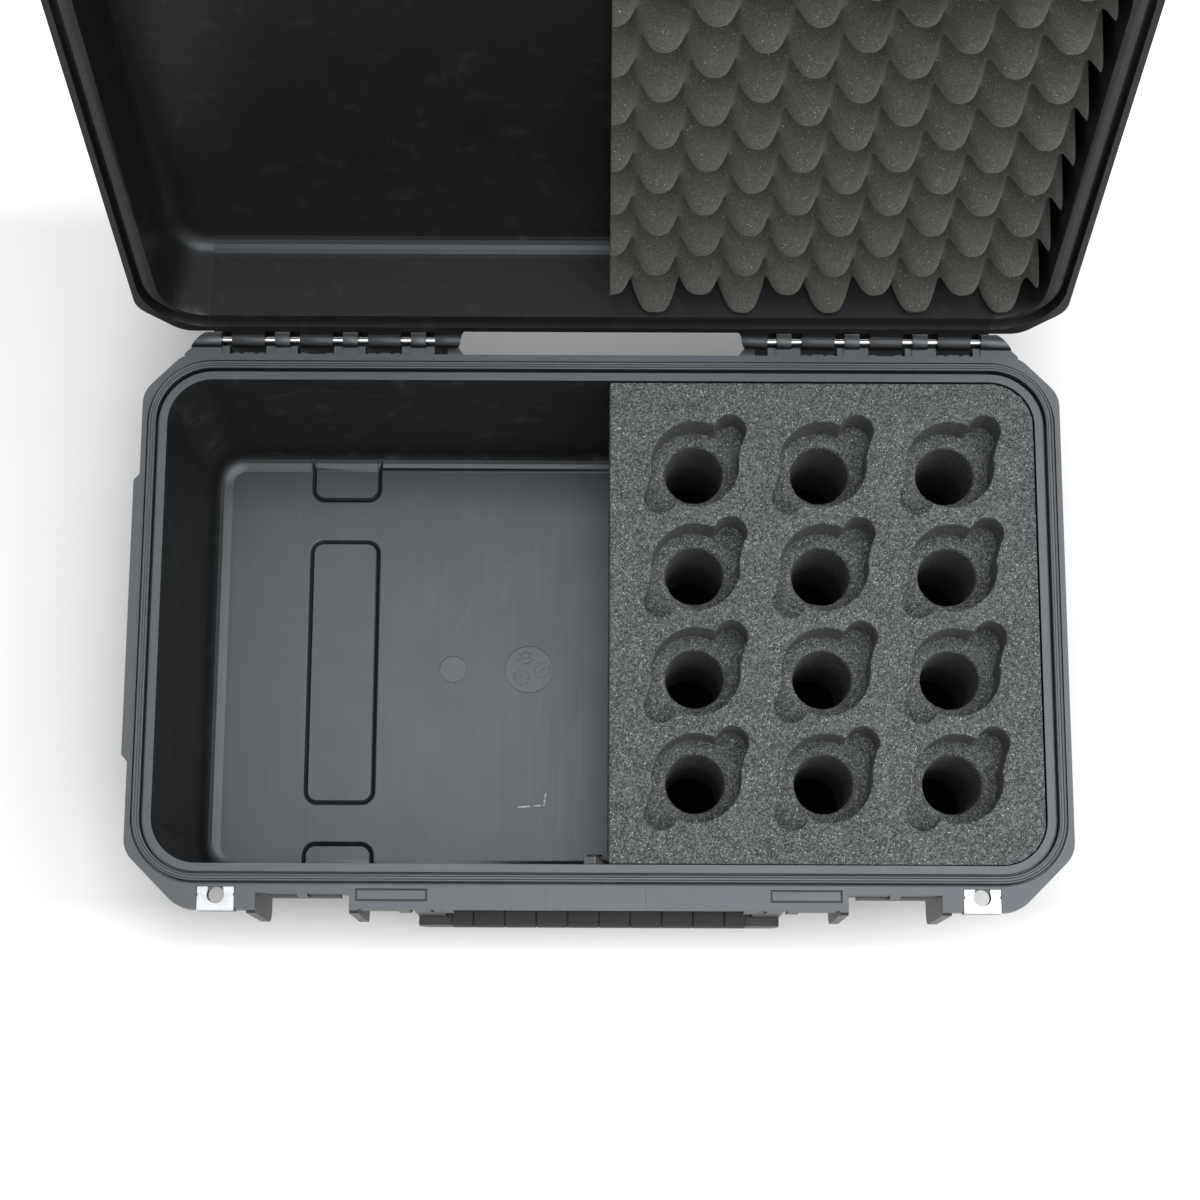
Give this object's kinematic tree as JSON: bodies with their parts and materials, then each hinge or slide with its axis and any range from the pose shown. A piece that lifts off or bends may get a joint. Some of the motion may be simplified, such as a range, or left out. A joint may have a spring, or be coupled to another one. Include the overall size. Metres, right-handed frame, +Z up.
{
  "type": "microphone case",
  "caption": "Hard carrying case with a hinged latching lid, a foam insert with round pockets for microphones and an open bay for accessories.",
  "frame": {"origin": "centre of the underside of the base, on the surface the case stands on", "axes": "+X along the length towards the foam insert, +Y from the front to the hinge, +Z up; the lid is open at rest"},
  "size_m": [0.5546, 0.4786, 0.4917],
  "materials": {
    "shell": "moulded polypropylene, fine satin grain",
    "fitting": "moulded polypropylene, satin",
    "grip": "soft moulded grip",
    "insert_foam": "closed-cell polyethylene foam, cut faces",
    "lid_foam": "convoluted open-cell polyurethane foam",
    "gasket": "extruded rubber",
    "plate_steel": "pressed stainless steel",
    "pin_steel": "drawn stainless rod"
  },
  "bodies": {
    "base": {"base_shell": "shell", "foam_top_layer": "insert_foam", "foam_pocket_block": "insert_foam", "foam_floor_pad": "insert_foam", "hinge_pin_left": "pin_steel", "hinge_pin_right": "pin_steel", "base_padlock_plate_left": "plate_steel", "base_padlock_plate_right": "plate_steel", "valve_body": "fitting", "valve_seal": "gasket", "valve_nut": "fitting", "handle_pins": "pin_steel", "side_handle_pins": "pin_steel"},
    "lid": {"lid_shell": "shell", "lid_gasket": "gasket", "lid_foam": "lid_foam", "lid_padlock_plate_left": "plate_steel", "lid_padlock_plate_right": "plate_steel", "latch_pin_left": "pin_steel", "latch_pin_right": "pin_steel"},
    "latch_left": {"latch_left": "fitting", "trigger_pin_left": "pin_steel", "trigger_spring_left": "pin_steel"},
    "latch_right": {"latch_right": "fitting", "trigger_pin_right": "pin_steel", "trigger_spring_right": "pin_steel"},
    "trigger_left": {"trigger_left": "fitting"},
    "trigger_right": {"trigger_right": "fitting"},
    "front_handle": {"front_handle": "fitting", "front_grip": "grip"},
    "side_handle": {"side_handle": "fitting", "side_grip": "grip"}
  },
  "joints": [
    {"name": "lid_hinge", "type": "hinge", "parent": "base", "child": "lid", "pos_m": [0, 0.17095, 0.144], "axis": [1, 0, 0], "range_deg": [0, 105]},
    {"name": "latch_left_pivot", "type": "hinge", "parent": "lid", "child": "latch_left", "pos_m": [-0.17105, 0.27302, 0.46699], "axis": [-1, 0, 0], "range_deg": [-4, 95]},
    {"name": "latch_right_pivot", "type": "hinge", "parent": "lid", "child": "latch_right", "pos_m": [0.17105, 0.27302, 0.46699], "axis": [-1, 0, 0], "range_deg": [-4, 95]},
    {"name": "trigger_left_pivot", "type": "hinge", "parent": "latch_left", "child": "trigger_left", "pos_m": [-0.17105, 0.25439, 0.4786], "axis": [-1, 0, 0], "range_deg": [0, 15], "stiffness_Nm_per_rad": 0.03, "springref_deg": -17.19},
    {"name": "trigger_right_pivot", "type": "hinge", "parent": "latch_right", "child": "trigger_right", "pos_m": [0.17105, 0.25439, 0.4786], "axis": [-1, 0, 0], "range_deg": [0, 15], "stiffness_Nm_per_rad": 0.03, "springref_deg": -17.19},
    {"name": "front_handle_swing", "type": "hinge", "parent": "base", "child": "front_handle", "pos_m": [0, -0.16425, 0.126], "axis": [-1, 0, 0], "range_deg": [0, 95]},
    {"name": "side_handle_swing", "type": "hinge", "parent": "base", "child": "side_handle", "pos_m": [-0.26935, 0, 0.122], "axis": [0, 1, 0], "range_deg": [0, 90]}
  ]
}
